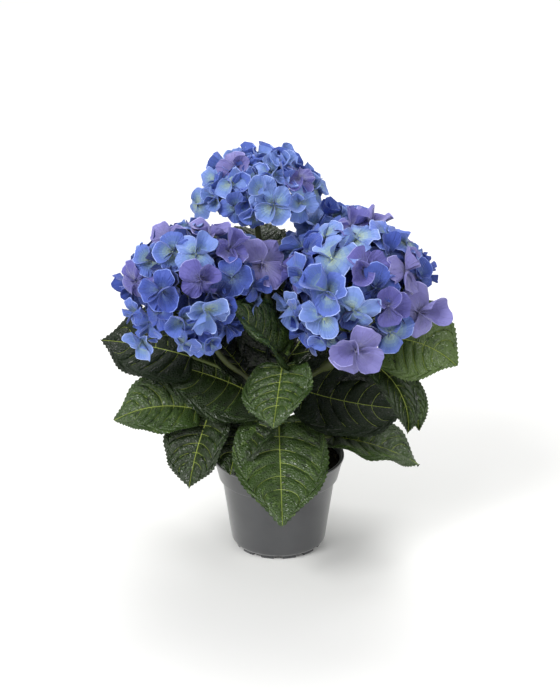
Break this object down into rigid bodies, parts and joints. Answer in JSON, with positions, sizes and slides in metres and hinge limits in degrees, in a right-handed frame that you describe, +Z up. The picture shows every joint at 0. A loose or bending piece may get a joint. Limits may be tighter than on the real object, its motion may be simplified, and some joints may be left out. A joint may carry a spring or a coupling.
{
  "type": "artificial potted hydrangea",
  "caption": "Artificial mophead hydrangea bush with blue flower heads and serrated green leaves, standing in a plastic nursery pot.",
  "frame": {"origin": "centre of the pot's underside, on the pot's axis, where the pot stands", "axes": "+Z up along the pot's axis; -Y to the front of the plant; +X to the right of someone who faces that front"},
  "size_m": [0.3158, 0.2468, 0.3727],
  "materials": {
    "pot": "satin",
    "soil": "matte",
    "stem": "matte",
    "flower": "matte",
    "leaf": "satin"
  },
  "bodies": {
    "root": {"pot": "pot", "soil": "soil", "trunk": "stem", "bough_top": "stem", "bough_left": "stem", "bough_right": "stem", "bough_back_left": "stem", "bough_back_right": "stem", "shoot_front": "stem", "shoot_left": "stem", "shoot_right": "stem", "shoot_back": "stem", "head_top": "flower", "head_left": "flower", "head_right": "flower", "head_back_right": "flower", "head_back_left": "flower", "leaves_front_low": "leaf", "leaves_front_high": "leaf", "leaves_right_mid": "leaf", "leaves_right_low": "leaf", "leaves_right_high": "leaf", "leaves_left_high": "leaf", "leaves_left_mid": "leaf", "leaves_left_low": "leaf", "leaves_middle": "leaf", "leaves_top": "leaf", "leaves_back_right": "leaf", "leaves_back_left": "leaf", "leaves_back_low": "leaf"}
  },
  "joints": []
}
